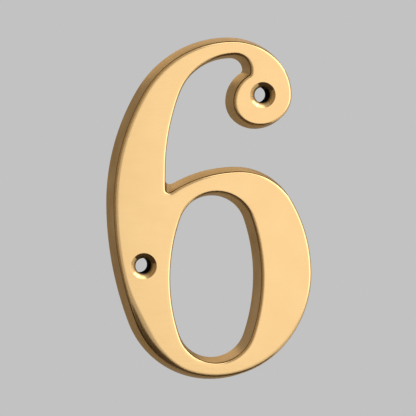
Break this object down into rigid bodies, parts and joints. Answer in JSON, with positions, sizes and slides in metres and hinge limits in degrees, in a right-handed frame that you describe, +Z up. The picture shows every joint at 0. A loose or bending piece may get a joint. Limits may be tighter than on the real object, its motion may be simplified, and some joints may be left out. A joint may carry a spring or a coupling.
{
  "type": "door number",
  "caption": "Cast-brass house figure six with a swelling stem, oval counter, curled arch ending in a ball, drafted sides, polished face and countersunk screw holes.",
  "frame": {"origin": "axis of the upper screw hole, on the flat back", "axes": "+X to the right seen from the front, +Y into the door, +Z up; the face looks along -Y"},
  "size_m": [0.062, 0.008, 0.1022],
  "materials": {
    "cast_brass": "polished face and rolled edge, satin cast sides"
  },
  "bodies": {
    "root": {"door_number": "cast_brass"}
  },
  "joints": []
}
